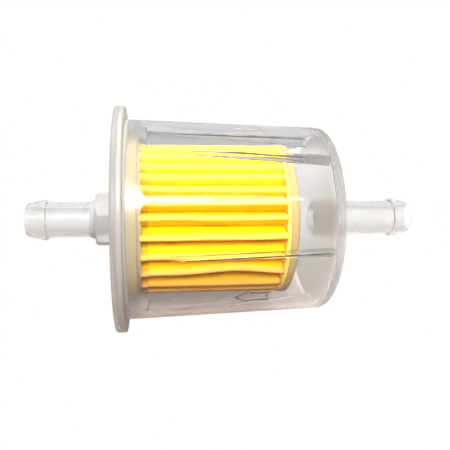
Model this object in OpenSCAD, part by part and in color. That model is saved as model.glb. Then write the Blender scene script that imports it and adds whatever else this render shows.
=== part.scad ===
// In-line fuel filter: a clear bowl welded to a lid, with a pleated paper element inside.
// The axis is +X, from the outlet to the inlet. +Z is up. The origin is halfway along the axis.

/* [Nipples] */
// Outer diameter of the plain part of each nipple, for an 8 mm hose
nipple_d = 8.3; // [7.9:0.1:8.6]
// Largest diameter of each barb
barb_d = 9.5; // [9.2:0.1:9.9]
// Diameter of the rounded tip of each nipple
tip_d = 7.9; // [7.4:0.1:8.1]
// Length of each barb, from its step to the tip
barb_l = 4.6; // [4:0.1:5.5]
// Length of the full-width land behind each barb's taper
barb_land = 0.8; // [0.6:0.1:1.2]
// Bore through each nipple
bore_d = 6; // [5.6:0.1:6.2]
// Overall length, tip to tip
overall_l = 93; // [91:0.5:97]

/* [Bowl] */
// Outer diameter of the bowl where it meets its flange
bowl_open_d = 47; // [46:0.5:48]
// Outer diameter of the bowl where its end starts to round off
bowl_end_d = 44.4; // [44:0.2:45]
// Thickness of the bowl's wall
bowl_wall = 1.3; // [1.1:0.1:1.5]
// Place of the outer face of the bowl's end wall
bowl_end_x = 23.4; // [23:0.2:25]
// Thickness of the end wall
end_wall = 2; // [1.6:0.1:2.2]
// Radius of the bowl's outer corner
corner_r = 1.8; // [1.4:0.1:2.2]
// Number of ribs inside the bowl
rib_count = 6; // [4:1:7]
// Height of each rib at the end wall
rib_h = 2.4; // [2:0.1:2.6]
// Thickness of each rib
rib_t = 1; // [0.8:0.1:1.4]
// Roll of the moulded details about the axis, upwards from the front
roll = 30; // [26:0.5:36]

/* [Flange] */
// Diameter of the lid and of the bowl's flange
flange_d = 53; // [52:0.5:55]
// Place of the flange's face on the bowl's side
flange_x = -23.5; // [-24:0.1:-23]
// Thickness of the bowl's flange
bowl_flange_t = 1.1; // [1:0.1:1.3]
// Thickness of the lid's disc
lid_t = 1.1; // [1:0.1:1.3]
// Thickness of the weld between them
weld_t = 0.2; // [0.1:0.05:0.3]
// Radius of the flange's outer edges
edge_r = 0.5; // [0.3:0.1:0.5]
// Depth that the lid's spigot reaches into the bowl
spigot_l = 4.9; // [4:0.1:5.5]
// Thickness of the spigot
spigot_t = 1; // [0.8:0.1:1.2]

/* [Outlet fitting] */
// Hexagon collar across its flats
hex_af = 11.8; // [11.4:0.1:13]
// Height of the hexagon collar
hex_h = 4.8; // [4:0.1:5.5]
// Chamfer on the collar's outer corners
hex_chamfer = 1; // [0.6:0.1:1.4]
// Diameter of the stem that is welded into the lid
stem_d = 10; // [9.5:0.1:10.5]

/* [Filter element] */
// Diameter over the tips of the pleats
pleat_tip_d = 35.6; // [35:0.2:36]
// Diameter at the roots of the pleats
pleat_root_d = 26; // [25:0.2:27]
// Number of pleats
pleat_count = 30; // [24:1:32]
// Thickness of the paper
paper_t = 0.45; // [0.35:0.05:0.5]
// How far the pleats drift from an even spacing, in degrees
pleat_drift = 2.6; // [0:0.2:3]
// How far the pleats sag round towards the underside, in degrees
pleat_sag = 7; // [0:0.5:8]
// Place of the outlet end of the paper
paper_x0 = -20.4; // [-20.6:0.1:-20]
// Place of the inlet end of the paper
paper_x1 = 11.5; // [10:0.5:13]
// Thickness of the disc that shuts the inlet end
closed_t = 2; // [1.6:0.1:2.4]
// Diameter of the disc at the outlet end
open_disc_d = 38.4; // [36:0.2:40]
// Wall of the perforated core tube
core_wall = 0.8; // [0.6:0.1:1]
// Diameter of each hole in the core tube
core_hole_d = 3; // [2.4:0.2:3.4]
// Number of rings of holes in the core tube
core_hole_rings = 6; // [4:1:7]
// Number of holes in each ring
core_holes = 8; // [4:1:8]

/* [Flow arrows] */
// Length of each arrow
arrow_l = 8.2; // [7:0.2:9]
// Width of an arrow's head
arrow_w = 6; // [5:0.2:7]
// Width of the raised line
arrow_line = 0.45; // [0.4:0.05:0.6]
// Height of the raised line
arrow_h = 0.2; // [0.15:0.05:0.3]
// Place of the arrows' points
arrow_x = -0.1; // [-2:0.1:3]

/* [Hidden] */
$fn = 96;
glue_t = 0.5;
open_disc_t = 2.5;
seal_d_in = 14;
seal_d_out = 20;
seam_h = 2.4;
tip_x = overall_l / 2;
tip_r = 0.5;
root_r = 0.5;
seam_turn = 40;
barb_x = tip_x - barb_l;
lid_out_x = flange_x - bowl_flange_t - weld_t - lid_t;
lid_in_x = lid_out_x + lid_t;
bowl_open_x = lid_in_x + weld_t;
weld_r_in = bowl_open_d / 2 - bowl_wall;
weld_r_out = flange_d / 2 - 0.35;
end_in_x = bowl_end_x - end_wall;
taper = (bowl_open_d - bowl_end_d) / 2 / (bowl_end_x - corner_r - flange_x);
hex_x = lid_out_x - hex_h;
hex_corner_r = hex_af / 2 / cos(30);
chamfer_slope = 0.7;
flare_l = 1.8;
pleat_pitch = 360 / pleat_count;
pleat_turn = 7.3;
drift_turn = 17.5;
sag_span = 80;
closed_x0 = paper_x1 + glue_t;
open_x1 = paper_x0 - glue_t;
open_x0 = open_x1 - open_disc_t;
core_r_out = pleat_root_d / 2 - paper_t;
rib_x0 = -14.3;
rib_pitch = 360 / rib_count;
arrow_turns = [roll + rib_pitch, roll - rib_pitch];

// Outer radius of the bowl's wall at a place along the axis
function bowl_r(x) = bowl_open_d / 2 - taper * (x - flange_x);

// A point on an arc, for profiles
function arc(cx, cy, r, a0, a1, steps) =
    [for (i = [0:steps]) let (a = a0 + (a1 - a0) * i / steps) [cx + r * cos(a), cy + r * sin(a)]];

// Turns a profile of [radius, place along the axis] about the axis, with its seam clear of other edges
module turned(points) {
    rotate([0, 90, 0]) rotate(seam_turn) rotate_extrude() polygon(points);
}

// A plain ring from x0 to x1
module ring(r_out, r_in, x0, x1) {
    turned([[r_in, x0], [r_out, x0], [r_out, x1], [r_in, x1]]);
}

// Puts a shape drawn around the +Y direction at an angle measured upwards from the front (-Y)
module at_turn(turn) {
    rotate([180 - turn, 0, 0]) children();
}

// Outside of the inlet nipple as a profile, from its root to the rim of its bore
function nipple_points() = concat(
    arc(nipple_d / 2 + root_r, bowl_end_x + root_r, root_r, 270, 180, 4),
    [[nipple_d / 2, barb_x], [barb_d / 2, barb_x], [barb_d / 2, barb_x + barb_land]],
    arc(tip_d / 2 - tip_r, tip_x - tip_r, tip_r, 20, 90, 5)
);

module rib() {
    linear_extrude(rib_t, center = true)
        polygon([
            [rib_x0, bowl_r(rib_x0) - bowl_wall],
            [rib_x0, bowl_r(rib_x0) - bowl_wall / 2],
            [end_in_x + end_wall / 2, bowl_r(end_in_x) - bowl_wall / 2],
            [end_in_x + end_wall / 2, bowl_r(end_in_x) - bowl_wall - rib_h],
            [end_in_x, bowl_r(end_in_x) - bowl_wall - rib_h]
        ]);
}

// Outline of a flow arrow that points along -X, with a notched tail, drawn g inside its edge
module arrow_outline(g) {
    head_l = arrow_l * 0.45;
    shaft = arrow_w * 0.28;
    notch = arrow_l * 0.1;
    polygon([
        [g * 1.6, 0],
        [head_l - g, arrow_w / 2 - g * 2.2],
        [head_l - g, shaft - g],
        [arrow_l - g * 1.6, shaft - g],
        [arrow_l - notch - g, 0],
        [arrow_l - g * 1.6, -shaft + g],
        [head_l - g, -shaft + g],
        [head_l - g, -arrow_w / 2 + g * 2.2]
    ]);
}

// Raised outline of an arrow on the bowl's inner face
module arrow() {
    x0 = arrow_x - 1;
    x1 = arrow_x + arrow_l + 1;
    intersection() {
        translate([arrow_x, 0, 0]) rotate([-90, 0, 0]) linear_extrude(bowl_open_d / 2) difference() {
            arrow_outline(0);
            arrow_outline(arrow_line);
        }
        turned([
            [bowl_r(x0) - bowl_wall - arrow_h, x0],
            [bowl_r(x0) - bowl_wall / 2, x0],
            [bowl_r(x1) - bowl_wall / 2, x1],
            [bowl_r(x1) - bowl_wall - arrow_h, x1]
        ]);
    }
}

module bowl_shell() {
    inner_corner = 0.8;
    inner_end_r = bowl_r(end_in_x) - bowl_wall;
    turned(concat(
        [[bowl_r(bowl_open_x) - bowl_wall, bowl_open_x], [flange_d / 2, bowl_open_x]],
        arc(flange_d / 2 - edge_r, flange_x - edge_r, edge_r, 0, 90, 6),
        arc(bowl_open_d / 2 + 0.5, flange_x + 0.5, 0.5, 270, 180, 5),
        arc(bowl_end_d / 2 - corner_r, bowl_end_x - corner_r, corner_r, 0, 90, 8),
        nipple_points(),
        [[bore_d / 2, tip_x], [bore_d / 2, end_in_x]],
        arc(inner_end_r - inner_corner, end_in_x - inner_corner, inner_corner, 90, 0, 5)
    ));
}

module bowl() {
    color([0.86, 0.87, 0.88, 0.4])
    union() {
        bowl_shell();
        for (i = [0:rib_count - 1]) at_turn(roll + (i + 0.5) * rib_pitch) rib();
        for (turn = arrow_turns) at_turn(turn) arrow();
    }
}

module lid() {
    spigot_x = flange_x + spigot_l;
    spigot_r = bowl_r(spigot_x) - bowl_wall - 0.1;
    color([0.84, 0.84, 0.86, 0.4])
    turned(concat(
        [[stem_d / 2, lid_out_x]],
        arc(flange_d / 2 - edge_r, lid_out_x + edge_r, edge_r, 270, 360, 6),
        [
            [flange_d / 2, lid_in_x],
            [spigot_r, lid_in_x],
            [spigot_r, spigot_x - 0.7],
            [spigot_r - 0.5, spigot_x],
            [spigot_r - spigot_t, spigot_x],
            [spigot_r - spigot_t, lid_in_x],
            [stem_d / 2, lid_in_x]
        ]
    ));
}

module weld_ring() {
    color([0.92, 0.92, 0.93, 0.7]) ring(weld_r_out, weld_r_in, lid_in_x, bowl_open_x);
}

module hex_collar() {
    clear_r = hex_corner_r + 1;
    intersection() {
        translate([hex_x, 0, 0]) at_turn(roll) rotate([0, 90, 0]) rotate(90)
            cylinder(h = hex_h, r = hex_corner_r, $fn = 6);
        turned([
            [0, hex_x - 1],
            [hex_corner_r - hex_chamfer - 1 / chamfer_slope, hex_x - 1],
            [clear_r, hex_x + (hex_chamfer + 1) * chamfer_slope],
            [clear_r, lid_out_x + 1],
            [0, lid_out_x + 1]
        ]);
    }
}

module outlet_fitting() {
    color([0.9, 0.88, 0.9, 0.8])
    difference() {
        union() {
            turned(concat(
                [[0, lid_in_x], [stem_d / 2, lid_in_x], [stem_d / 2, hex_x + 0.6]],
                [[nipple_d / 2, hex_x - flare_l], [nipple_d / 2, -barb_x], [barb_d / 2, -barb_x]],
                [[barb_d / 2, -barb_x - barb_land]],
                arc(tip_d / 2 - tip_r, -tip_x + tip_r, tip_r, 340, 270, 5),
                [[0, -tip_x]]
            ));
            hex_collar();
        }
        translate([-tip_x - 1, 0, 0]) rotate([0, 90, 0]) cylinder(h = tip_x, d = bore_d);
    }
}

// Share of the sag at an angle: it grows quickly below the front and fades slowly round the back
function sag_share(angle) =
    let (below = (pleat_turn + pleat_pitch - angle + 720) % 360)
    below < sag_span ? sin(90 * below / sag_span)
        : cos(90 * (below - sag_span) / (360 - sag_span));

// Angle of fold i of the paper: even folds are tips and odd folds are roots
function fold_angle(i) =
    let (even = pleat_turn + i * pleat_pitch / 2)
    even + pleat_drift * cos(3 * (even - drift_turn)) - pleat_sag * sag_share(even);

// Place of a fold at radius r, with the front as +X and up as +Y
function fold_point(i, r) = [r * cos(fold_angle(i)), r * sin(fold_angle(i))];

// Paper band as one closed outline, thickened inwards
module paper_outline() {
    outer = pleat_tip_d / 2;
    inner = pleat_root_d / 2;
    difference() {
        polygon([for (i = [0:2 * pleat_count - 1]) fold_point(i, i % 2 == 0 ? outer : inner)]);
        polygon([for (i = [0:2 * pleat_count - 1])
            fold_point(i, i % 2 == 0 ? outer - paper_t * 4 : inner - paper_t)]);
    }
}

// Lays a flat outline, drawn with +X as the front and +Y as up, along the axis from x0 to x1
module along_axis(x0, x1) {
    translate([x0, 0, 0]) rotate([90, 0, 90]) linear_extrude(x1 - x0) mirror([1, 0]) children();
}

module pleated_paper() {
    color("gold") along_axis(paper_x0, paper_x1) paper_outline();
}

// Glue bead in the bottom of the groove at the back
module paper_seam() {
    i = pleat_count + 1 - pleat_count % 2;
    root = fold_point(i, pleat_root_d / 2);
    side_a = fold_point(i - 1, pleat_tip_d / 2);
    side_b = fold_point(i + 1, pleat_tip_d / 2);
    up = seam_h / ((pleat_tip_d - pleat_root_d) / 2);
    color("khaki") along_axis(paper_x0, paper_x1)
        polygon([root, root + up * (side_a - root), root + up * (side_b - root)]);
}

module core_tube() {
    length = paper_x1 - paper_x0;
    step = length / core_hole_rings;
    color("whitesmoke")
    difference() {
        ring(core_r_out - 0.1, core_r_out - 0.1 - core_wall, paper_x0, paper_x1);
        for (i = [0:core_hole_rings - 1], k = [0:core_holes - 1])
            translate([paper_x0 + step * (i + 0.5), 0, 0])
                rotate([(k + i % 2 / 2) * 360 / core_holes, 0, 0])
                    translate([0, 0, core_r_out / 2]) cylinder(h = core_r_out, d = core_hole_d);
    }
}

module closed_end_disc() {
    r = pleat_tip_d / 2 + 0.3;
    color("palegoldenrod")
    turned(concat(
        [[0, closed_x0], [r, closed_x0]],
        arc(r - 0.9, closed_x0 + closed_t - 0.9, 0.9, 0, 90, 6),
        [[0, closed_x0 + closed_t]]
    ));
}

module closed_end_glue() {
    color("khaki") ring(pleat_tip_d / 2 + 0.1, core_r_out - 1.5, paper_x1, closed_x0);
}

module open_end_glue() {
    color("khaki") ring(pleat_tip_d / 2 + 0.1, core_r_out - 1.5, open_x1, paper_x0);
}

module open_end_disc() {
    r = open_disc_d / 2;
    color("wheat")
    turned(concat(
        [[bore_d / 2, open_x0]],
        arc(r - 0.6, open_x0 + 0.6, 0.6, 270, 360, 5),
        [[r, open_x1], [bore_d / 2, open_x1]]
    ));
}

module seal_ring() {
    color("dimgray") ring(seal_d_out / 2, seal_d_in / 2, lid_in_x, open_x0);
}

bowl();
lid();
weld_ring();
outlet_fitting();
pleated_paper();
paper_seam();
core_tube();
closed_end_disc();
closed_end_glue();
open_end_disc();
open_end_glue();
seal_ring();
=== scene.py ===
import math

import bpy
import bmesh
from mathutils import Matrix, Vector, noise


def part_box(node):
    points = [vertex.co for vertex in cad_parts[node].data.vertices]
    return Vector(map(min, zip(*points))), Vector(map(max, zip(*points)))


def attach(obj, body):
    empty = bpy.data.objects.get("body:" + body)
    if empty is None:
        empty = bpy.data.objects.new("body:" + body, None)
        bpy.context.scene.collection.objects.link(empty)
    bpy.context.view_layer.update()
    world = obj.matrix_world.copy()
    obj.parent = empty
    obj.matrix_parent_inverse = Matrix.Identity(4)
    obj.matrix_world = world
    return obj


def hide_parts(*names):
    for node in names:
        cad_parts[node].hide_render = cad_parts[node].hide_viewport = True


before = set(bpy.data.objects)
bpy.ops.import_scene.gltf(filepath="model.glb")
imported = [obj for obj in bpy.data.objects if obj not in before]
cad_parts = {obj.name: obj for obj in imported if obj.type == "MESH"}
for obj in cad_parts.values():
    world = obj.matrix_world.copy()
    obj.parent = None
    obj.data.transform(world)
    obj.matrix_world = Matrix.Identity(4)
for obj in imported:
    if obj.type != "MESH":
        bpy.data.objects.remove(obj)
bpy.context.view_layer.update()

# An in-line fuel filter: a clear bowl welded to a lid, with a pleated paper element inside.
# Lengths below are millimetres until they become mesh points. The axis is +X, from outlet to inlet.
# A turn is an angle about the axis, measured up from the front (-Y).

MM = 0.001
BODY = "root"


def span(node):
    """Where a node starts and ends along the axis, and its outer radius."""
    low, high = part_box(node)
    return low.x / MM, high.x / MM, high.z / MM


# ---------------------------------------------------------------- sizes

BOWL_X0, TIP_X, FLANGE_R = span("bowl")
LID_X0, SPIGOT_X, LID_R = span("lid")
WELD_X0, WELD_X1 = span("weld_ring")[:2]
PAPER_X0, PAPER_X1, PAPER_R = span("pleated_paper")
CLOSED_X0, CLOSED_X1, CLOSED_R = span("closed_end_disc")
OPEN_X0, OPEN_X1, OPEN_R = span("open_end_disc")

FLANGE_T = 1.1
FLANGE_X = BOWL_X0 + FLANGE_T
BOWL_OPEN_R, BOWL_END_R = 23.5, 22.2
BOWL_END_X, BOWL_CORNER_R = 23.4, 1.8
BOWL_WALL, END_WALL = 1.3, 2.0
END_IN_X = BOWL_END_X - END_WALL
SEAM_ROUND = 0.06
TAPER = (BOWL_OPEN_R - BOWL_END_R) / (BOWL_END_X - BOWL_CORNER_R - FLANGE_X)

NIPPLE_R, BARB_R, TIP_R, BORE_R = 4.15, 4.75, 3.95, 3.0
BARB_L, BARB_LAND = 4.6, 0.8
BARB_X = TIP_X - BARB_L

ROLL = 30
RIB_COUNT, RIB_H, RIB_X0 = 6, 2.4, -14.3
RIB_R = 20.5
RIB_TURNS = [ROLL + (i + 0.5) * 360 / RIB_COUNT for i in range(RIB_COUNT)]
# Half of a rib's cross-section, from foot to crest: (distance from its middle, share of RIB_H)
RIB_SIDE = [(0.56, 0.0), (0.47, 0.86), (0.4, 0.96), (0.28, 1.0)]
ARROW_TURNS = [ROLL + 360 / RIB_COUNT, ROLL - 360 / RIB_COUNT]
ARROW_X, ARROW_L, ARROW_W, ARROW_LINE, ARROW_H = -0.1, 8.2, 6.0, 0.5, 0.075

# Hexagon collar: width across its flats, height, chamfer and how steep the chamfer is
HEX_AF, HEX_H, HEX_CHAMFER, CHAMFER_SLOPE = 11.8, 4.8, 1.0, 0.7
STEM_R = 5.0
HEX_X = LID_X0 - HEX_H
LID_IN_X = WELD_X0

# Number of pleats, the turn of the first, and how far and from where they drift from even spacing
PLEATS, PLEAT_TURN, PLEAT_DRIFT, DRIFT_TURN = 30, 7.3, 2.6, 17.5
# How far the pleats sag towards the underside, and over how many degrees below the front it grows
PLEAT_SAG, SAG_SPAN = 7.0, 80
ROOT_R, PAPER_T = 13.0, 0.42
TIP_ROUND, ROOT_ROUND = 0.42, 0.3
# Angles of the points round a tip and round a root
TIP_SWEEP = [-78, -52, -26, 0, 26, 52, 78]
ROOT_SWEEP = [70, 35, 0, -35, -70]
# One low fold was pinched: which fold, by how many degrees, where, and over what length
PINCHED, PINCH, PINCH_X, PINCH_L = 2 * (PLEATS - 2), 3.8, 1.0, 8.0


def wall_r(x):
    """Outer radius of the bowl's tapered wall."""
    return BOWL_OPEN_R - TAPER * (x - FLANGE_X)


# ---------------------------------------------------------------- materials

# Where the clear plastic is frosted: places along the axis, with tint, roughness and transmission.
# The bowl is hazy by its flange, on its end wall and on its nipple.
BOWL_FROST = [(FLANGE_X - 0.1, 0.81, 0.4, 0.88), (FLANGE_X + 0.8, 0.82, 0.24, 0.99),
              (FLANGE_X + 2.8, 0.86, 0.2, 0.997), (FLANGE_X + 4.3, 0.90, 0.02, 1.0),
              (END_IN_X - 1.2, 0.90, 0.02, 1.0), (END_IN_X + 0.2, 0.98, 0.34, 0.98),
              (BOWL_END_X + 1, 0.78, 0.22, 0.96), (TIP_X, 0.74, 0.27, 0.94)]
# The lid's plate is hazy and its spigot is clear
LID_FROST = [(LID_IN_X + 0.1, 0.81, 0.4, 0.88), (LID_IN_X + 0.6, 0.96, 0.03, 1.0),
             (SPIGOT_X, 0.97, 0.03, 1.0)]
# The outlet nipple is milky, and its thick hexagon more so
FITTING_FROST = [(-TIP_X, 0.71, 0.27, 0.92), (HEX_X - 1.6, 0.71, 0.25, 0.92),
                 (HEX_X - 0.2, 0.37, 0.38, 0.55), (LID_X0, 0.37, 0.38, 0.55), (LID_IN_X, 0.72, 0.3, 0.9)]

# The paper's colour from the bottom of a groove to the top of a fold: slightly deeper painted shade in the
# grooves and a paler painted highlight on the tops
FOLD_SHADE_AND_HIGHLIGHT_TONES = [(0.0, (1.0, 0.80, 0.003)), (0.5, (1.0, 0.82, 0.005)), (0.86, (1.0, 0.83, 0.018)),
              (1.0, (1.0, 0.87, 0.12))]

# Painted shade on the paper's lower side, darker towards the bottom where less light reaches: heights, and
# the tone from the lowest up
UNDERSIDE_SHADE_LOW, UNDERSIDE_SHADE_TOP = -14, 2
UNDERSIDE_SHADE_TONES = [(0.0, (0.70, 0.40, 0.42)), (0.25, (0.71, 0.41, 0.46)), (0.6, (0.94, 0.655, 1.0)),
               (1.0, (1.0, 0.96, 1.0))]


def shader_tree(name):
    """A new material with only its output node."""
    mat = bpy.data.materials.new(name)
    mat.use_nodes = True
    nodes = mat.node_tree.nodes
    nodes.clear()
    out = nodes.new("ShaderNodeOutputMaterial")
    return mat, mat.node_tree, out


def add(tree, kind, **values):
    """A new node with its inputs and properties set by name."""
    node = tree.nodes.new(kind)
    for key, value in values.items():
        if hasattr(node, key):
            setattr(node, key, value)
        else:
            node.inputs[key.replace("_", " ")].default_value = value
    return node


def noise_bump(tree, scale, strength, distance, stretch=(1, 1, 1), detail=3.0):
    """A bump from noise in the object's own coordinates. Returns the bump node."""
    place = tree.nodes.new("ShaderNodeTexCoord")
    fit = add(tree, "ShaderNodeMapping", Scale=stretch)
    grain = add(tree, "ShaderNodeTexNoise", Scale=scale, Detail=detail)
    bump = add(tree, "ShaderNodeBump", Strength=strength, Distance=distance)
    tree.links.new(place.outputs["Object"], fit.inputs["Vector"])
    tree.links.new(fit.outputs["Vector"], grain.inputs["Vector"])
    tree.links.new(grain.outputs["Fac"], bump.inputs["Height"])
    return bump


def let_light_through(tree, out, shader, tint):
    """Lets lamp light and bounced light pass the plastic unbent, so that it reaches what is inside."""
    path = tree.nodes.new("ShaderNodeLightPath")
    either = add(tree, "ShaderNodeMath", operation="MAXIMUM")
    clear = add(tree, "ShaderNodeBsdfTransparent", Color=(*tint, 1))
    mix = tree.nodes.new("ShaderNodeMixShader")
    tree.links.new(path.outputs["Is Shadow Ray"], either.inputs[0])
    tree.links.new(path.outputs["Is Diffuse Ray"], either.inputs[1])
    tree.links.new(either.outputs[0], mix.inputs[0])
    tree.links.new(shader.outputs[0], mix.inputs[1])
    tree.links.new(clear.outputs[0], mix.inputs[2])
    tree.links.new(mix.outputs[0], out.inputs["Surface"])


def level_ramp(tree, stops):
    """A colour ramp from (position, colour) stops."""
    ramp = tree.nodes.new("ShaderNodeValToRGB")
    low, high = ramp.color_ramp.elements
    low.position, low.color = stops[0][0], (*stops[0][1], 1)
    high.position, high.color = stops[-1][0], (*stops[-1][1], 1)
    for at, colour in stops[1:-1]:
        ramp.color_ramp.elements.new(at).color = (*colour, 1)
    return ramp


def vary_along(tree, gloss, stops):
    """Varies the plastic along the axis, from (x, tint, roughness, transmission) stops."""
    x0, x1 = stops[0][0], stops[-1][0]
    place = tree.nodes.new("ShaderNodeTexCoord")
    split = tree.nodes.new("ShaderNodeSeparateXYZ")
    share = add(tree, "ShaderNodeMapRange", From_Min=x0 * MM, From_Max=x1 * MM)
    ramp = level_ramp(tree, [((x - x0) / (x1 - x0), levels) for x, *levels in stops])
    levels = tree.nodes.new("ShaderNodeSeparateColor")
    links = tree.links
    links.new(place.outputs["Object"], split.inputs[0])
    links.new(split.outputs["X"], share.inputs["Value"])
    links.new(share.outputs["Result"], ramp.inputs["Fac"])
    links.new(ramp.outputs["Color"], levels.inputs["Color"])
    links.new(levels.outputs[0], gloss.inputs["Base Color"])
    links.new(levels.outputs[1], gloss.inputs["Roughness"])
    links.new(levels.outputs[2], gloss.inputs["Transmission Weight"])


def clear_plastic(name, colour, roughness, ripple, shade_tint, transmission=1.0, along=None):
    """Clear moulded plastic with slow flow ripples. along says where it is frosted."""
    mat, tree, out = shader_tree(name)
    gloss = add(tree, "ShaderNodeBsdfPrincipled", Base_Color=(*colour, 1), Roughness=roughness, IOR=1.53)
    gloss.inputs["Transmission Weight"].default_value = transmission
    ripples = noise_bump(tree, 220.0, ripple, 0.0003, detail=1.0)
    tree.links.new(ripples.outputs[0], gloss.inputs["Normal"])
    if along:
        vary_along(tree, gloss, along)
    let_light_through(tree, out, gloss, shade_tint)
    return mat


def paper_material():
    """Resin-treated paper: fibres, a paler painted highlight on the fold tops, slightly deeper painted
    shade in the grooves and painted shade on its lower side.
    """
    mat, tree, out = shader_tree("filter_paper")
    links = tree.links
    place = tree.nodes.new("ShaderNodeTexCoord")
    depth = add(tree, "ShaderNodeAttribute", attribute_name="fold")
    # Painted shade in the grooves and a painted highlight on the fold tops, by how far out on its fold each
    # point is
    shade = level_ramp(tree, FOLD_SHADE_AND_HIGHLIGHT_TONES)
    fibres = add(tree, "ShaderNodeTexNoise", Scale=1600.0, Detail=4.0)
    blots = add(tree, "ShaderNodeTexNoise", Scale=260.0, Detail=3.0)
    tone = add(tree, "ShaderNodeMapRange", From_Min=0.3, From_Max=0.7, To_Min=0.93, To_Max=1.05)
    mottle = add(tree, "ShaderNodeVectorMath", operation="SCALE")
    split = tree.nodes.new("ShaderNodeSeparateXYZ")
    # Painted shade: the paper's colour darkens towards its lower side
    height = add(tree, "ShaderNodeMapRange", From_Min=UNDERSIDE_SHADE_LOW * MM, From_Max=UNDERSIDE_SHADE_TOP * MM)
    underside_shade = level_ramp(tree, UNDERSIDE_SHADE_TONES)
    underside_shaded = add(tree, "ShaderNodeVectorMath", operation="MULTIPLY")
    paper = add(tree, "ShaderNodeBsdfPrincipled", Roughness=0.42)
    paper.inputs["Specular IOR Level"].default_value = 0.05
    glow = tree.nodes.new("ShaderNodeBsdfTranslucent")
    mix = add(tree, "ShaderNodeMixShader", Fac=0.22)
    bump = add(tree, "ShaderNodeBump", Strength=0.35, Distance=0.00008)
    links.new(depth.outputs["Fac"], shade.inputs["Fac"])
    links.new(place.outputs["Object"], fibres.inputs["Vector"])
    links.new(place.outputs["Object"], blots.inputs["Vector"])
    links.new(blots.outputs["Fac"], tone.inputs["Value"])
    links.new(shade.outputs["Color"], mottle.inputs[0])
    links.new(tone.outputs["Result"], mottle.inputs["Scale"])
    links.new(place.outputs["Object"], split.inputs[0])
    links.new(split.outputs["Z"], height.inputs["Value"])
    links.new(height.outputs["Result"], underside_shade.inputs["Fac"])
    links.new(mottle.outputs[0], underside_shaded.inputs[0])
    links.new(underside_shade.outputs["Color"], underside_shaded.inputs[1])
    links.new(underside_shaded.outputs[0], paper.inputs["Base Color"])
    links.new(underside_shaded.outputs[0], glow.inputs["Color"])
    links.new(fibres.outputs["Fac"], bump.inputs["Height"])
    links.new(bump.outputs[0], paper.inputs["Normal"])
    links.new(paper.outputs[0], mix.inputs[1])
    links.new(glow.outputs[0], mix.inputs[2])
    links.new(mix.outputs[0], out.inputs["Surface"])
    return mat


def moulded(name, colour, roughness, scale=900.0, strength=0.2, mottle=0.06):
    """Plain moulded plastic, glue or rubber: fine grain, and a colour that is not quite even."""
    mat, tree, out = shader_tree(name)
    links = tree.links
    place = tree.nodes.new("ShaderNodeTexCoord")
    blots = add(tree, "ShaderNodeTexNoise", Scale=scale * 0.3, Detail=3.0)
    darker = [c * (1 - mottle) for c in colour]
    lighter = [min(c * (1 + mottle), 1) for c in colour]
    shade = level_ramp(tree, [(0.3, darker), (0.7, lighter)])
    surface = add(tree, "ShaderNodeBsdfPrincipled", Roughness=roughness)
    grain = noise_bump(tree, scale, strength, 0.0001)
    links.new(place.outputs["Object"], blots.inputs["Vector"])
    links.new(blots.outputs["Fac"], shade.inputs["Fac"])
    links.new(shade.outputs["Color"], surface.inputs["Base Color"])
    links.new(grain.outputs[0], surface.inputs["Normal"])
    links.new(surface.outputs[0], out.inputs["Surface"])
    return mat


# ---------------------------------------------------------------- mesh helpers

def arc(cx, cr, radius, a0, a1, steps):
    """Points of an arc as (x, r), with the angle measured from +x towards +r."""
    turns = [math.radians(a0 + (a1 - a0) * i / steps) for i in range(steps + 1)]
    return [(cx + radius * math.cos(a), cr + radius * math.sin(a)) for a in turns]


def supported(points, gap=0.25):
    """The same closed profile, with points added close to both ends of each long side.

    They hold the shading of the edges. A long closing side adds the last two points.
    """
    held = []
    for (x0, r0), (x1, r1) in zip(points, points[1:] + points[:1]):
        held.append((x0, r0))
        length = math.hypot(x1 - x0, r1 - r0)
        if length > 3 * gap:
            for share in (gap / length, 1 - gap / length):
                held.append((x0 + (x1 - x0) * share, r0 + (r1 - r0) * share))
    return held


def even_turns(count):
    """Equal steps round the axis, in degrees."""
    return [360 * i / count for i in range(count)]


def on_axis_turn(x, r, angle):
    """The mesh point at x and radius r, at an angle in radians up from the front."""
    return x * MM, -r * math.cos(angle) * MM, r * math.sin(angle) * MM


def ring_faces(rings, columns):
    """Faces between closed rings of points. The last ring joins the first."""
    faces = []
    for i in range(rings):
        for j in range(columns):
            here, up, nxt = i * columns, (i + 1) % rings * columns, (j + 1) % columns
            faces.append((here + j, here + nxt, up + nxt, up + j))
    return faces


def lathe(profile, turns, reshape=None):
    """Points and faces of a closed profile of (x, r) turned about the axis.

    reshape(i, x, r, column) may give another radius for ring i at a column.
    """
    points = []
    for i, (x, r) in enumerate(profile):
        for column, turn in enumerate(turns):
            radius = reshape(i, x, r, column) if reshape else r
            points.append(on_axis_turn(x, radius, math.radians(turn)))
    return points, ring_faces(len(profile), len(turns))


def piece(name, points, faces, material, node, sharp=32, folds=None):
    """A finished piece that stands for a CAD node, smooth except over its sharp edges.

    folds gives a value from 0 to 1 at each point, for a material that reads it.
    """
    mesh = bpy.data.meshes.new(name)
    mesh.from_pydata(points, [], faces)
    if folds:
        mesh.attributes.new("fold", "FLOAT", "POINT").data.foreach_set("value", folds)
    work = bmesh.new()
    work.from_mesh(mesh)
    bmesh.ops.remove_doubles(work, verts=work.verts, dist=1e-7)
    bmesh.ops.dissolve_degenerate(work, edges=work.edges, dist=1e-8)
    bmesh.ops.recalc_face_normals(work, faces=work.faces)
    for face in work.faces:
        face.smooth = True
    work.to_mesh(mesh)
    work.free()
    mesh.set_sharp_from_angle(angle=math.radians(sharp))
    mesh.materials.append(material)
    made = bpy.data.objects.new(name, mesh)
    bpy.context.scene.collection.objects.link(made)
    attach(made, BODY)
    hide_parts(node)
    return made


# ---------------------------------------------------------------- bowl

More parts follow.
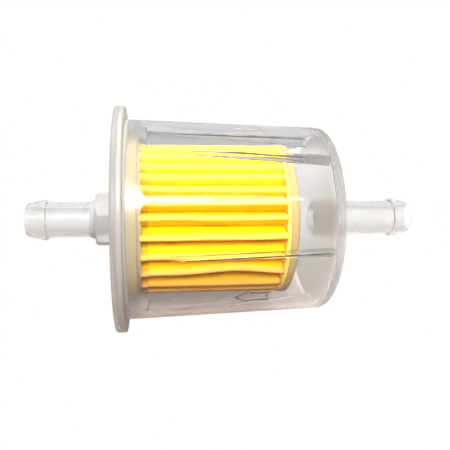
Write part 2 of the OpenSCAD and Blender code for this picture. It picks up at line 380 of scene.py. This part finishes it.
def arrow_ridge(x, across):
    """Height of the raised arrow line at a place on the bowl's inner face."""
    head_l, shaft, notch = ARROW_L * 0.45, ARROW_W * 0.28, ARROW_L * 0.1
    half = [(0, 0), (head_l, ARROW_W / 2), (head_l, shaft), (ARROW_L, shaft), (ARROW_L - notch, 0)]
    u, v = x - ARROW_X, abs(across)
    nearest, inside = 1e9, False
    for (x0, y0), (x1, y1) in zip(half, half[1:]):
        dx, dy = x1 - x0, y1 - y0
        t = min(max(((u - x0) * dx + (v - y0) * dy) / (dx * dx + dy * dy), 0), 1)
        nearest = min(nearest, math.hypot(u - x0 - t * dx, v - y0 - t * dy))
        if (y0 > v) != (y1 > v) and u < x0 + (v - y0) * dx / dy:
            inside = not inside
    if not inside or nearest > ARROW_LINE:
        return 0.0
    return ARROW_H * math.sin(math.pi * nearest / ARROW_LINE) ** 1.5


def bowl_profile():
    """Outside of the bowl from its open end to the inlet's tip, then back along its inside."""
    inner_r = wall_r(END_IN_X) - BOWL_WALL
    outside = [(BOWL_X0, wall_r(BOWL_X0) - BOWL_WALL)]
    outside += arc(BOWL_X0 + SEAM_ROUND, FLANGE_R - SEAM_ROUND, SEAM_ROUND, 180, 90, 3)
    outside += arc(FLANGE_X - 0.5, FLANGE_R - 0.5, 0.5, 90, 0, 6)
    outside += arc(FLANGE_X + 0.5, BOWL_OPEN_R + 0.5, 0.5, 180, 270, 6)
    outside += arc(BOWL_END_X - BOWL_CORNER_R, BOWL_END_R - BOWL_CORNER_R, BOWL_CORNER_R, 88, 0, 12)
    outside += arc(BOWL_END_X + 0.5, NIPPLE_R + 0.5, 0.5, 180, 270, 5)
    outside += [(BARB_X - 0.15, NIPPLE_R)]
    outside += arc(BARB_X + 0.15, BARB_R - 0.15, 0.15, 180, 90, 3)
    outside += [(BARB_X + BARB_LAND, BARB_R)]
    outside += arc(TIP_X - 0.5, TIP_R - 0.5, 0.5, 70, 0, 5)
    outside += [(TIP_X, BORE_R + 0.2), (TIP_X - 0.2, BORE_R), (END_IN_X + 0.3, BORE_R)]
    outside += [(END_IN_X, BORE_R + 0.3)]
    outside = supported(outside)[:-2]
    first_inner = len(outside)
    inside = [(END_IN_X, r) for r in (6.0, 12.0, 17.0)]
    inside += arc(END_IN_X - 0.8, inner_r - 0.8, 0.8, 0, 88, 6)
    # Rings along the wall's inside, close together under the arrows
    stations = [20.3, 18.0, 15.5, 13.0, 11.0, 9.4]
    stations += [8.5 - 0.12 * i for i in range(75)]
    stations += [-0.8, -2.5, -5.0, -8.0, -11.0, RIB_X0, -17.0, -20.0, -23.0, BOWL_X0 + 0.25]
    inside += [(x, wall_r(x) - BOWL_WALL) for x in stations]
    return outside + inside, first_inner


def bowl_columns():
    """Turns of the bowl's columns, with how far up a rib each stands and its distance across an arrow."""
    ribs = [(-across, share) for across, share in RIB_SIDE] + RIB_SIDE[::-1]
    inner_r = wall_r(0) - BOWL_WALL
    reach = math.degrees((ARROW_W / 2 + 0.3) / inner_r)
    columns = []
    for centre in RIB_TURNS:
        columns += [(centre + math.degrees(off / RIB_R), share, None) for off, share in ribs]
    for centre in ARROW_TURNS:
        steps = 56
        for i in range(steps + 1):
            off = -reach + 2 * reach * i / steps
            columns.append((centre + off, 0.0, math.radians(off) * inner_r))
    busy = [(c, 2.4) for c in RIB_TURNS] + [(c, reach + 0.8) for c in ARROW_TURNS]
    for turn in even_turns(200):
        if all(abs((turn - c + 180) % 360 - 180) > near for c, near in busy):
            columns.append((turn, 0.0, None))
    return sorted((turn % 360, share, across) for turn, share, across in columns)


def make_bowl(material):
    """The bowl with its flange, nipple, inner ribs and arrows, as one closed skin."""
    profile, first_inner = bowl_profile()
    columns = bowl_columns()

    def reshape(i, x, r, column):
        turn, share, across = columns[column]
        if i < first_inner:
            return r
        if share and x > RIB_X0:
            rise = RIB_H * (x - RIB_X0) / (END_IN_X - RIB_X0)
            return min(r, wall_r(x) - BOWL_WALL - share * rise)
        if across is not None and ARROW_X - 0.2 < x < ARROW_X + ARROW_L + 0.2:
            return r - arrow_ridge(x, across)
        return r

    points, faces = lathe(profile, [c[0] for c in columns], reshape)
    return piece("bowl_clear", points, faces, material, "bowl")


# ---------------------------------------------------------------- lid, weld and outlet fitting

def make_lid(material):
    """The lid with its spigot and the hole for the outlet fitting."""
    spigot_r = wall_r(SPIGOT_X) - BOWL_WALL - 0.1
    profile = [(LID_X0, STEM_R)]
    profile += arc(LID_X0 + 0.5, LID_R - 0.5, 0.5, 180, 90, 6)
    profile += arc(LID_IN_X - SEAM_ROUND, LID_R - SEAM_ROUND, SEAM_ROUND, 90, 0, 3)
    profile += arc(LID_IN_X + 0.3, spigot_r + 0.3, 0.3, 180, 270, 4)
    profile += [(SPIGOT_X - 0.8, spigot_r), (SPIGOT_X - 0.06, spigot_r - 0.09), (SPIGOT_X, spigot_r - 0.16)]
    profile += arc(SPIGOT_X - 0.15, spigot_r - 0.85, 0.15, 0, -90, 3)
    profile += arc(LID_IN_X + 0.3, spigot_r - 1.3, 0.3, 90, 180, 4)
    profile += [(LID_IN_X, STEM_R)]
    points, faces = lathe(supported(profile), even_turns(240))
    return piece("lid_clear", points, faces, material, "lid")


def make_weld(material):
    """The melted joint between lid and flange, with a slightly uneven rim."""
    inner_r, rim_r = BOWL_OPEN_R - BOWL_WALL, LID_R - 0.01
    profile = [(WELD_X0, inner_r), (WELD_X0, rim_r), (WELD_X1, rim_r), (WELD_X1, inner_r)]
    turns = even_turns(180)

    def reshape(i, x, r, column):
        a = math.radians(turns[column])
        squeeze = noise.noise(Vector((4 * math.cos(a), 4 * math.sin(a), 0.5)))
        return r + 0.04 * squeeze - 0.02 if i in (1, 2) else r

    points, faces = lathe(profile, turns, reshape)
    return piece("weld_melt", points, faces, material, "weld_ring")


def hex_r(turn, af):
    """Radius of a hexagon with slightly eased corners at a turn."""
    off = (turn - ROLL) % 60 - 30
    flat = af / 2 / math.cos(math.radians(off))
    eased = af / 2 / math.cos(math.radians(30)) - 0.1
    return -math.log(math.exp(-14 * flat) + math.exp(-14 * eased)) / 14


def make_fitting(material):
    """The outlet fitting: stem, hexagon collar and barbed nipple round one bore."""
    turns = even_turns(360)
    hex_xs = [LID_X0, LID_X0 - 0.3, HEX_X + 1.4]
    hex_xs += [HEX_X + 1.2 - 0.1 * i for i in range(12)] + [HEX_X]
    collar = [(x, HEX_AF) for x in hex_xs]
    profile = [(LID_IN_X, BORE_R), (LID_IN_X, STEM_R), (LID_X0, STEM_R)]
    first_hex = len(profile)
    profile += collar
    last_hex = len(profile)
    tube = [(HEX_X, STEM_R - 0.2)]
    tube += arc(HEX_X - 1.9, NIPPLE_R + 2.2, 2.2, 300, 270, 6)
    tube += [(-BARB_X + 0.15, NIPPLE_R)]
    tube += arc(-BARB_X - 0.15, BARB_R - 0.15, 0.15, 0, 90, 3)
    tube += [(-BARB_X - BARB_LAND, BARB_R)]
    tube += arc(-TIP_X + 0.5, TIP_R - 0.5, 0.5, 110, 180, 5)
    tube += [(-TIP_X, BORE_R + 0.2), (-TIP_X + 0.2, BORE_R)]
    profile += supported(tube + [(LID_IN_X - 0.2, BORE_R)])[:-2]
    corner_r = HEX_AF / 2 / math.cos(math.radians(30))

    def reshape(i, x, r, column):
        if first_hex <= i < last_hex:
            cone = corner_r - HEX_CHAMFER + (x - HEX_X) / CHAMFER_SLOPE
            return min(hex_r(turns[column], HEX_AF), cone)
        return r

    points, faces = lathe(profile, turns, reshape)
    return piece("outlet_nipple", points, faces, material, "outlet_fitting", 26)


# ---------------------------------------------------------------- filter element

def fold_angle(i):
    """Turn of fold i: even folds are tips and odd folds are roots."""
    even = PLEAT_TURN + i * 180 / PLEATS
    below = (PLEAT_TURN + 360 / PLEATS - even) % 360
    if below < SAG_SPAN:
        gathered = math.sin(math.pi / 2 * below / SAG_SPAN)
    else:
        gathered = math.cos(math.pi / 2 * (below - SAG_SPAN) / (360 - SAG_SPAN))
    return even + PLEAT_DRIFT * math.cos(math.radians(3 * (even - DRIFT_TURN))) - PLEAT_SAG * gathered


def fold_turn(i, x):
    """Turn of fold i at x, with a little sway along its length. One fold was pinched near its middle."""
    i %= 2 * PLEATS
    sway = noise.noise(Vector((x * 0.07, i * 3.7, 1.3))) * (0.8 if i % 2 == 0 else 0.5)
    if i == PINCHED:
        sway += PINCH * math.exp(-((x - PINCH_X) / PINCH_L) ** 2)
    return math.radians(fold_angle(i) + sway)


def fold_line(x):
    """Middle line of the paper across the axis at x: ((front, up), how far out the fold it is)."""
    line = []
    tip_r = PAPER_R - PAPER_T / 2
    for i in range(2 * PLEATS):
        outer = i % 2 == 0
        lift = noise.noise(Vector((x * 0.05, i * 2.9, 7.1)))
        radius = tip_r - TIP_ROUND - 0.12 - 0.12 * lift if outer else ROOT_R + ROOT_ROUND
        ease = TIP_ROUND if outer else ROOT_ROUND
        turn, next_turn = fold_turn(i, x), fold_turn(i + 1, x)
        out = Vector((math.cos(turn), math.sin(turn)))
        side = Vector((-out.y, out.x))
        sweep = TIP_SWEEP if outer else ROOT_SWEEP
        for bend in sweep:
            b = math.radians(bend)
            along = math.cos(b) if outer else -math.cos(b)
            point = out * (radius + ease * along) + side * (ease * math.sin(b) * (1 if outer else -1))
            line.append((point, 1.0 if outer else 0.0))
        next_out = Vector((math.cos(next_turn), math.sin(next_turn)))
        next_side = Vector((-next_out.y, next_out.x))
        tip_end, root_end = tip_r - 0.9, ROOT_R + 0.6
        r0, r1 = (tip_end, root_end) if outer else (root_end, tip_end)
        start = out * r0 + side * (0.5 if outer else 0.2)
        end = next_out * r1 - next_side * (0.2 if outer else 0.5)
        for t in (0.15, 0.38, 0.62, 0.85):
            line.append((start.lerp(end, t), 1 - t if outer else t))
    return line


def make_paper(material):
    """The pleated band: both faces of the paper at steps along the axis, closed at its ends."""
    steps = 44
    points, folds, faces = [], [], []
    for s in range(steps + 1):
        x = PAPER_X0 + (PAPER_X1 - PAPER_X0) * s / steps
        line = fold_line(x)
        count = len(line)
        for side in (1, -1):
            for i, (middle, share) in enumerate(line):
                way = (line[(i + 1) % count][0] - line[i - 1][0]).normalized()
                p = middle + Vector((way.y, -way.x)) * (side * PAPER_T / 2)
                points.append((x * MM, -p.x * MM, p.y * MM))
                # How far out on its fold each point is, read by the paper's painted groove shade and
                # fold-top highlight
                folds.append(share ** 1.5)
    ring = 2 * count
    for s in range(steps):
        for start in (s * ring, s * ring + count):
            for i in range(count):
                a, b = start + i, start + (i + 1) % count
                faces.append((a, b, b + ring, a + ring))
    for s in (0, steps):
        for i in range(count):
            a, b = s * ring + i, s * ring + (i + 1) % count
            faces.append((a, b, b + count, a + count))
    return piece("paper_pleats", points, faces, material, "pleated_paper", 50, folds)


def disc_profile(x0, x1, radius, hole, ease0, ease1):
    """A disc with its outer edges rounded by ease0 at x0 and ease1 at x1."""
    profile = [(x0, hole)]
    profile += arc(x0 + ease0, radius - ease0, ease0, 180, 90, 5)
    profile += arc(x1 - ease1, radius - ease1, ease1, 90, 0, 7)
    profile += [(x1, hole)]
    return profile


def make_disc(name, node, material, profile, wobble):
    """A moulded or cast disc whose rim is not quite even."""
    turns = even_turns(180)

    def reshape(i, x, r, column):
        a = math.radians(turns[column])
        uneven = noise.noise(Vector((2.2 * math.cos(a), 2.2 * math.sin(a), x * 0.2)))
        return r + wobble * uneven - wobble / 2 if r > 10 else r

    points, faces = lathe(supported(profile, 0.15), turns, reshape)
    return piece(name, points, faces, material, node)


def make_glue(name, node, material, x_disc, x_paper):
    """Potting between a disc and the paper. It creeps a little way up each groove between the pleats."""
    way = 1 if x_paper > x_disc else -1
    turns = even_turns(360)
    outer, inner = PAPER_R + 0.05, ROOT_R - PAPER_T - 1.5
    radii = [inner + (outer - inner) * i / 12 for i in range(13)]
    tips = [fold_angle(2 * k) for k in range(PLEATS)]

    def creep(turn, r):
        near = min(abs((turn - t + 180) % 360 - 180) for t in tips)
        groove = min(near / (180 / PLEATS), 1.0)
        return 0.1 + 0.35 * groove ** 2 * min((r - inner) / 4, 1)

    points = []
    flat = [(x_disc, r) for r in reversed(radii)]
    for i, (x, r) in enumerate([(x_paper, r) for r in radii] + flat):
        for turn in turns:
            place = x + way * creep(turn, r) if i < len(radii) else x
            points.append(on_axis_turn(place, r, math.radians(turn)))
    return piece(name, points, ring_faces(2 * len(radii), len(turns)), material, node)


# ---------------------------------------------------------------- stage, light and camera

# Lengths and places from here on are metres.
# What the plastic sees round it: tones from straight in front and below to behind and above
WORLD_UP = 20
WORLD_TONES = [(0.0, (0.012, 0.012, 0.012)), (0.27, (0.045, 0.045, 0.045)), (0.48, (0.12, 0.12, 0.12)),
               (0.67, (0.20, 0.20, 0.20)), (0.97, (0.37, 0.37, 0.38))]
# What the plastic sees below it: painted light and shade on the floor from its front to its back, dark in
# front, painted shadow under and just behind the object and brighter further back, and a warm painted
# shadow underneath
FLOOR_HALF, FLOOR_GAP = 1.6, 0.0002
FLOOR_FRONT, FLOOR_BACK = -0.1, 0.3
FLOOR_LIGHT_AND_SHADE_TONES = [(0.11, (0.03, 0.03, 0.03)), (0.165, (0.09, 0.085, 0.08)), (0.21, (0.31, 0.285, 0.27)),
               (0.25, (0.32, 0.285, 0.26)), (0.325, (0.35, 0.34, 0.325)), (0.43, (0.51, 0.50, 0.49)),
               (0.60, (0.43, 0.43, 0.43)), (0.70, (0.80, 0.80, 0.79)), (0.80, (0.78, 0.78, 0.77)),
               (0.92, (0.25, 0.25, 0.25))]
WARM_SHADOW_X, WARM_SHADOW_Y, WARM_SHADOW_R = -0.008, 0.008, 0.036
WARM_SHADOW_TONES = [(0.0, (1.0, 0.84, 0.74)), (0.55, (0.98, 0.88, 0.81)), (1.0, (0.93, 0.93, 0.93))]
# What the floor sends back as soft light, kept low so that the paper's underside stays deep
BOUNCE = (0.10, 0.04, 0.015)


def make_floor():
    """A pale floor under the flange. The camera sees it white, and the plastic sees it lit by the lamps,
    with painted light and shade and a warm painted shadow on it.
    """
    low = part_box("lid")[0].z
    mesh = bpy.data.meshes.new("floor")
    corners = [(-FLOOR_HALF, -FLOOR_HALF), (FLOOR_HALF, -FLOOR_HALF), (FLOOR_HALF, FLOOR_HALF),
               (-FLOOR_HALF, FLOOR_HALF)]
    mesh.from_pydata([(x, y, low - FLOOR_GAP) for x, y in corners], [], [(0, 1, 2, 3)])
    mat, tree, out = shader_tree("floor_pale")
    path = tree.nodes.new("ShaderNodeLightPath")
    place = tree.nodes.new("ShaderNodeTexCoord")
    split = tree.nodes.new("ShaderNodeSeparateXYZ")
    # Painted light and shade along the floor, and a warm painted shadow round the point under the element
    back = add(tree, "ShaderNodeMapRange", From_Min=FLOOR_FRONT, From_Max=FLOOR_BACK)
    tone = level_ramp(tree, FLOOR_LIGHT_AND_SHADE_TONES)
    away = add(tree, "ShaderNodeVectorMath", operation="DISTANCE")
    away.inputs[1].default_value = (WARM_SHADOW_X, WARM_SHADOW_Y, low)
    near = add(tree, "ShaderNodeMapRange", From_Min=0.0, From_Max=WARM_SHADOW_R)
    warm_shadow = level_ramp(tree, WARM_SHADOW_TONES)
    both = add(tree, "ShaderNodeVectorMath", operation="MULTIPLY")
    shaded = tree.nodes.new("ShaderNodeBsdfDiffuse")
    bounced = add(tree, "ShaderNodeBsdfDiffuse", Color=(*BOUNCE, 1))
    soak = tree.nodes.new("ShaderNodeMixShader")
    seen = add(tree, "ShaderNodeEmission", Color=(1, 1, 1, 1), Strength=1.0)
    mix = tree.nodes.new("ShaderNodeMixShader")
    links = tree.links
    links.new(place.outputs["Object"], split.inputs[0])
    links.new(split.outputs["Y"], back.inputs["Value"])
    links.new(back.outputs["Result"], tone.inputs["Fac"])
    links.new(place.outputs["Object"], away.inputs[0])
    links.new(away.outputs["Value"], near.inputs["Value"])
    links.new(near.outputs["Result"], warm_shadow.inputs["Fac"])
    links.new(tone.outputs["Color"], both.inputs[0])
    links.new(warm_shadow.outputs["Color"], both.inputs[1])
    links.new(both.outputs[0], shaded.inputs["Color"])
    links.new(path.outputs["Is Camera Ray"], mix.inputs[0])
    links.new(path.outputs["Is Diffuse Ray"], soak.inputs[0])
    links.new(shaded.outputs[0], soak.inputs[1])
    links.new(bounced.outputs[0], soak.inputs[2])
    links.new(soak.outputs[0], mix.inputs[1])
    links.new(seen.outputs[0], mix.inputs[2])
    links.new(mix.outputs[0], out.inputs["Surface"])
    mesh.materials.append(mat)
    floor = bpy.data.objects.new("floor", mesh)
    bpy.context.scene.collection.objects.link(floor)


def make_world():
    """White behind the object. Round it a dim room in front, brighter overhead and behind."""
    world = bpy.data.worlds.new("studio")
    bpy.context.scene.world = world
    world.use_nodes = True
    tree = world.node_tree
    tree.nodes.clear()
    out = tree.nodes.new("ShaderNodeOutputWorld")
    path = tree.nodes.new("ShaderNodeLightPath")
    place = tree.nodes.new("ShaderNodeTexCoord")
    over = add(tree, "ShaderNodeVectorMath", operation="DOT_PRODUCT")
    over.inputs[1].default_value = towards(180, WORLD_UP)
    whole = add(tree, "ShaderNodeMapRange", From_Min=-1.0, From_Max=1.0)
    ramp = level_ramp(tree, WORLD_TONES)
    soft = add(tree, "ShaderNodeBackground", Strength=2.0)
    white = add(tree, "ShaderNodeBackground", Color=(1, 1, 1, 1), Strength=1.0)
    mix = tree.nodes.new("ShaderNodeMixShader")
    links = tree.links
    links.new(place.outputs["Generated"], over.inputs[0])
    links.new(over.outputs["Value"], whole.inputs["Value"])
    links.new(whole.outputs["Result"], ramp.inputs["Fac"])
    links.new(ramp.outputs["Color"], soft.inputs["Color"])
    links.new(path.outputs["Is Camera Ray"], mix.inputs[0])
    links.new(soft.outputs[0], mix.inputs[1])
    links.new(white.outputs[0], mix.inputs[2])
    links.new(mix.outputs[0], out.inputs["Surface"])


def towards(azimuth, elevation):
    """The direction from the object at an azimuth and elevation, where 0, 0 is the front."""
    a, e = math.radians(azimuth), math.radians(elevation)
    return Vector((math.sin(a) * math.cos(e), -math.cos(a) * math.cos(e), math.sin(e)))


def make_lamp(name, azimuth, elevation, distance, width, height, power, mirrored=True):
    """A soft lamp aimed at the object. One that isn't mirrored doesn't show in or through the plastic."""
    lamp = bpy.data.lights.new(name, "AREA")
    lamp.shape = "ELLIPSE" if mirrored else "RECTANGLE"
    lamp.size, lamp.size_y = width, height
    lamp.energy = power
    holder = bpy.data.objects.new(name, lamp)
    holder.visible_glossy = mirrored
    holder.visible_transmission = mirrored
    way = towards(azimuth, elevation)
    holder.location = way * distance
    holder.rotation_euler = way.to_track_quat("Z", "Y").to_euler()
    bpy.context.scene.collection.objects.link(holder)


VIEW_DISTANCE, VIEW_TURN, VIEW_RISE, VIEW_ROLL = 0.1318, -7.72, 21.5, 0.5
LENS, LENS_SHIFT = 43.0, -0.0144


def make_camera():
    """A view from a little to the lid's side and from above, with the axis just above the middle."""
    camera = bpy.data.cameras.new("camera")
    camera.sensor_width = 36.0
    camera.lens = LENS
    camera.clip_start, camera.clip_end = 0.01, 10.0
    camera.shift_y = LENS_SHIFT
    holder = bpy.data.objects.new("camera", camera)
    way = towards(VIEW_TURN, 0)
    level = Matrix.Translation(way * VIEW_DISTANCE) @ way.to_track_quat("Z", "Y").to_matrix().to_4x4()
    raised = Matrix.Rotation(math.radians(-VIEW_RISE), 4, "X")
    holder.matrix_world = raised @ level @ Matrix.Rotation(math.radians(-VIEW_ROLL), 4, "Z")
    bpy.context.scene.collection.objects.link(holder)
    bpy.context.scene.camera = holder


# ---------------------------------------------------------------- the object

bowl_mat = clear_plastic("bowl_plastic", (0.86, 0.86, 0.86), 0.02, 0.07, (0.93, 0.93, 0.93),
                         along=BOWL_FROST)
lid_mat = clear_plastic("lid_plastic", (0.86, 0.85, 0.85), 0.03, 0.07, (0.97, 0.97, 0.97),
                        along=LID_FROST)
weld_mat = clear_plastic("weld_plastic", (0.80, 0.79, 0.785), 0.45, 0.3, (0.85, 0.85, 0.85), 0.88)
fitting_mat = clear_plastic("fitting_plastic", (0.71, 0.7, 0.71), 0.22, 0.1, (0.8, 0.8, 0.8),
                            along=FITTING_FROST)
paper_mat = paper_material()
glue_mat = moulded("glue", (0.85, 0.62, 0.13), 0.5)
closed_mat = moulded("closed_disc", (0.45, 0.33, 0.14), 0.55)
open_mat = moulded("open_disc", (0.46, 0.38, 0.225), 0.5)
core_mat = moulded("core_plastic", (0.88, 0.87, 0.8), 0.5)
seal_mat = moulded("seal_rubber", (0.03, 0.03, 0.03), 0.6)

make_bowl(bowl_mat)
make_lid(lid_mat)
make_weld(weld_mat)
make_fitting(fitting_mat)
make_paper(paper_mat)
make_disc("closed_disc_cast", "closed_end_disc", closed_mat,
          disc_profile(CLOSED_X0, CLOSED_X1, CLOSED_R, 0.0, 0.3, 0.9), 0.15)
make_disc("open_disc_cast", "open_end_disc", open_mat,
          disc_profile(OPEN_X0, OPEN_X1, OPEN_R, BORE_R, 0.6, 0.3), 0.15)
make_glue("closed_glue", "closed_end_glue", glue_mat, CLOSED_X0, PAPER_X1)
make_glue("open_glue", "open_end_glue", open_mat, OPEN_X1, PAPER_X0)

for node, material in (("core_tube", core_mat), ("paper_seam", glue_mat), ("seal_ring", seal_mat)):
    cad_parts[node].material_slots[0].material = material

make_world()
make_floor()
make_lamp("overhead", 180, 66, 0.6, 0.5, 0.5, 8.0, mirrored=False)
make_lamp("front_fill", -4, 42, 0.7, 0.45, 0.2, 8.5, mirrored=False)
make_lamp("camera_fill", -8, 30, 0.5, 0.12, 0.12, 1.8, mirrored=False)
make_lamp("end_fill", 100, 12, 0.6, 0.4, 0.4, 1.6, mirrored=False)
make_lamp("key_strip", 6, 42.4, 0.5, 0.28, 0.09, 0.25)
make_lamp("key_core", 1, 43, 0.5, 0.15, 0.035, 0.12)
make_lamp("key_end", -3.3, 43, 0.5, 0.04, 0.15, 0.6)
make_lamp("key_left", -7, 43, 0.5, 0.05, 0.04, 0.25)
make_camera()

scene = bpy.context.scene
scene.view_settings.view_transform = "Standard"
scene.cycles.max_bounces = 32
scene.cycles.transmission_bounces = 24
scene.cycles.glossy_bounces = 12
scene.cycles.diffuse_bounces = 10
scene.cycles.transparent_max_bounces = 24
